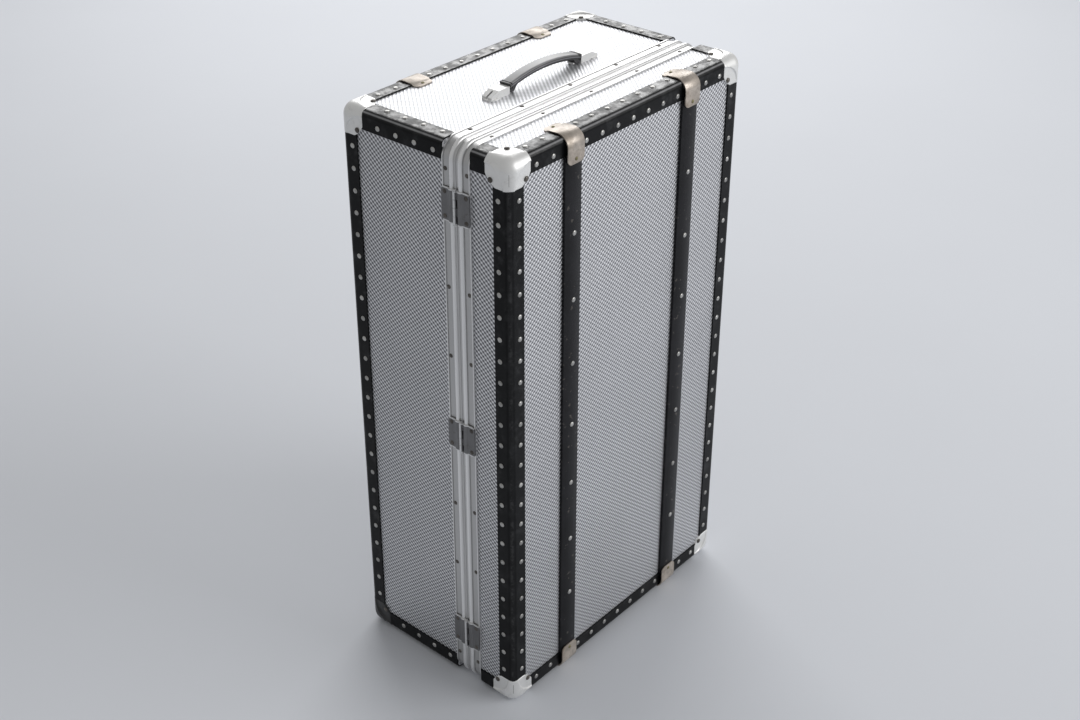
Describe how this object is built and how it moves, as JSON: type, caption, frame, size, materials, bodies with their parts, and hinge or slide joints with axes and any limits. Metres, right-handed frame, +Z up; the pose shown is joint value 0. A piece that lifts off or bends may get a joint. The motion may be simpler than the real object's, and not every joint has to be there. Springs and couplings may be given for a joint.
{
  "type": "suitcase",
  "caption": "Hard trunk-style suitcase standing on end: shallow hinged lid, deep base, bent metal rim, riveted edges, corner caps, battens, a carrying handle and two snap locks.",
  "frame": {"origin": "on the floor, under the middle of everything that stands out from the case", "axes": "+X from the hinge side to the lock side, +Y from the lid's front to the back, +Z up, along the case's long side"},
  "size_m": [0.4678, 0.2858, 0.823],
  "materials": {
    "panel": "plywood covered with embossed aluminium-look sheet",
    "lining": "plain cloth",
    "rim": "drawn profile, satin",
    "rivet": "nickelled, slightly worn",
    "dark_rivet": "oxidised",
    "fibre": "vulcanised fibre, black, slight sheen",
    "cap": "pressed, nickelled",
    "black_cap": "pressed, black lacquer",
    "batten": "black lacquer",
    "clip": "warm aged nickel",
    "hinge": "stamped",
    "grip": "black, satin crown",
    "housing": "pressed, nickelled",
    "lock": "pressed, nickelled"
  },
  "bodies": {
    "base": {"base_back_panel": "panel", "base_top_panel": "panel", "base_bottom_panel": "panel", "base_hinge_panel": "panel", "base_lock_panel": "panel", "base_lining": "lining", "base_rim": "rim", "back_edge_hinge": "fibre", "back_edge_lock": "fibre", "back_edge_top": "fibre", "back_edge_bottom": "fibre", "base_corner_edges": "fibre", "base_cap_top_hinge": "cap", "base_cap_top_lock": "cap", "base_cap_bottom_hinge": "black_cap", "base_cap_bottom_lock": "black_cap", "base_batten_hinge": "batten", "base_batten_lock": "batten", "base_clips": "clip", "base_edge_rivets": "rivet", "base_rim_rivets": "dark_rivet", "base_leaf_top": "hinge", "base_leaf_middle": "hinge", "base_leaf_bottom": "hinge", "hinge_pins": "hinge", "handle_housings": "housing", "lock_bodies": "lock"},
    "handle": {"grip": "grip", "grip_tongues": "housing"},
    "lid": {"lid_front_panel": "panel", "lid_top_panel": "panel", "lid_bottom_panel": "panel", "lid_hinge_panel": "panel", "lid_lock_panel": "panel", "lid_lining": "lining", "lid_rim": "rim", "front_edge_hinge": "fibre", "front_edge_lock": "fibre", "front_edge_top": "fibre", "front_edge_bottom": "fibre", "lid_corner_edges": "fibre", "lid_cap_top_hinge": "cap", "lid_cap_top_lock": "cap", "lid_cap_bottom_hinge": "cap", "lid_cap_bottom_lock": "cap", "lid_batten_hinge": "batten", "lid_batten_lock": "batten", "lid_clips": "clip", "lid_edge_rivets": "rivet", "lid_rim_rivets": "dark_rivet", "lid_leaf_top": "hinge", "lid_leaf_middle": "hinge", "lid_leaf_bottom": "hinge", "hasp_plates": "lock"},
    "hasp_top": {"hasp_top": "lock"},
    "hasp_bottom": {"hasp_bottom": "lock"},
    "slide_top": {"lock_slide_top": "lock"},
    "slide_bottom": {"lock_slide_bottom": "lock"}
  },
  "joints": [
    {"name": "lid_hinge", "type": "hinge", "parent": "base", "child": "lid", "pos_m": [-0.23149, -0.054, 0.403], "axis": [0, 0, -1], "range_deg": [0, 150]},
    {"name": "hasp_top_hinge", "type": "hinge", "parent": "lid", "child": "hasp_top", "pos_m": [0.22491, -0.079, 0.608], "axis": [0, 0, -1], "range_deg": [-4.5, 95]},
    {"name": "hasp_bottom_hinge", "type": "hinge", "parent": "lid", "child": "hasp_bottom", "pos_m": [0.22491, -0.079, 0.198], "axis": [0, 0, -1], "range_deg": [-4.5, 95]},
    {"name": "lock_slide_top_travel", "type": "slide", "parent": "base", "child": "slide_top", "axis": [0, 1, 0], "range_m": [0, 0.006]},
    {"name": "lock_slide_bottom_travel", "type": "slide", "parent": "base", "child": "slide_bottom", "axis": [0, 1, 0], "range_m": [0, 0.006]},
    {"name": "handle_lift", "type": "slide", "parent": "base", "child": "handle", "axis": [0, 0, 1], "range_m": [0, 0.005]}
  ]
}
